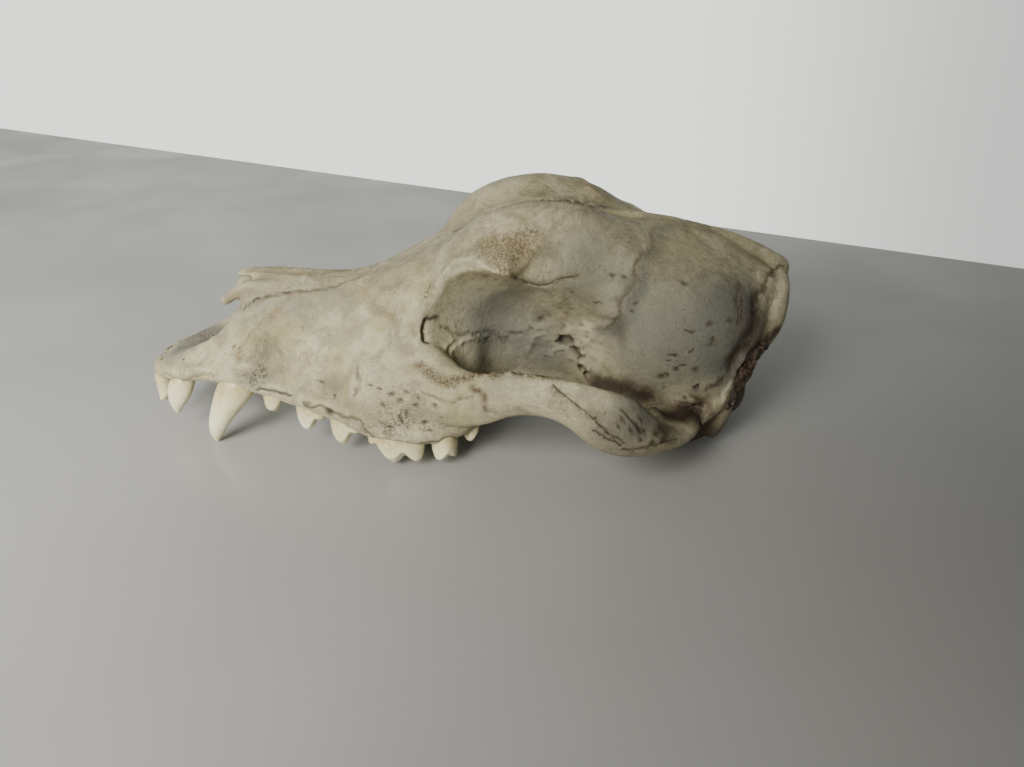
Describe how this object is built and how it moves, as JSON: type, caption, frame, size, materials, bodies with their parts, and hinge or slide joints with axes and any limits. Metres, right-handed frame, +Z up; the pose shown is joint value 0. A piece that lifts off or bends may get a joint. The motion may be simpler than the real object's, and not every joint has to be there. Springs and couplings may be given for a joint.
{
  "type": "dog skull",
  "caption": "Dog skull without its lower jaw: a long snout with teeth in their sockets, domed frontal bulges, open orbits, flared cheek arches and a crested braincase.",
  "frame": {"origin": "middle of the bounding box at the height of the surface that the skull stands on", "axes": "+Z up, -X towards the front teeth and +X towards the back of the skull, -Y towards the animal's left side and +Y towards its right"},
  "size_m": [0.1844, 0.0988, 0.07],
  "materials": {
    "bone": "matte",
    "tooth": "glossy"
  },
  "bodies": {
    "root": {"cranium": "bone", "left_incisor_1": "tooth", "left_incisor_2": "tooth", "left_incisor_3": "tooth", "left_canine": "tooth", "left_premolar_1": "tooth", "left_premolar_2": "tooth", "left_premolar_3": "tooth", "left_premolar_4": "tooth", "left_molar_1": "tooth", "left_molar_2": "tooth", "right_incisor_1": "tooth", "right_incisor_2": "tooth", "right_incisor_3": "tooth", "right_canine": "tooth", "right_premolar_1": "tooth", "right_premolar_2": "tooth", "right_premolar_3": "tooth", "right_premolar_4": "tooth", "right_molar_1": "tooth", "right_molar_2": "tooth"}
  },
  "joints": []
}
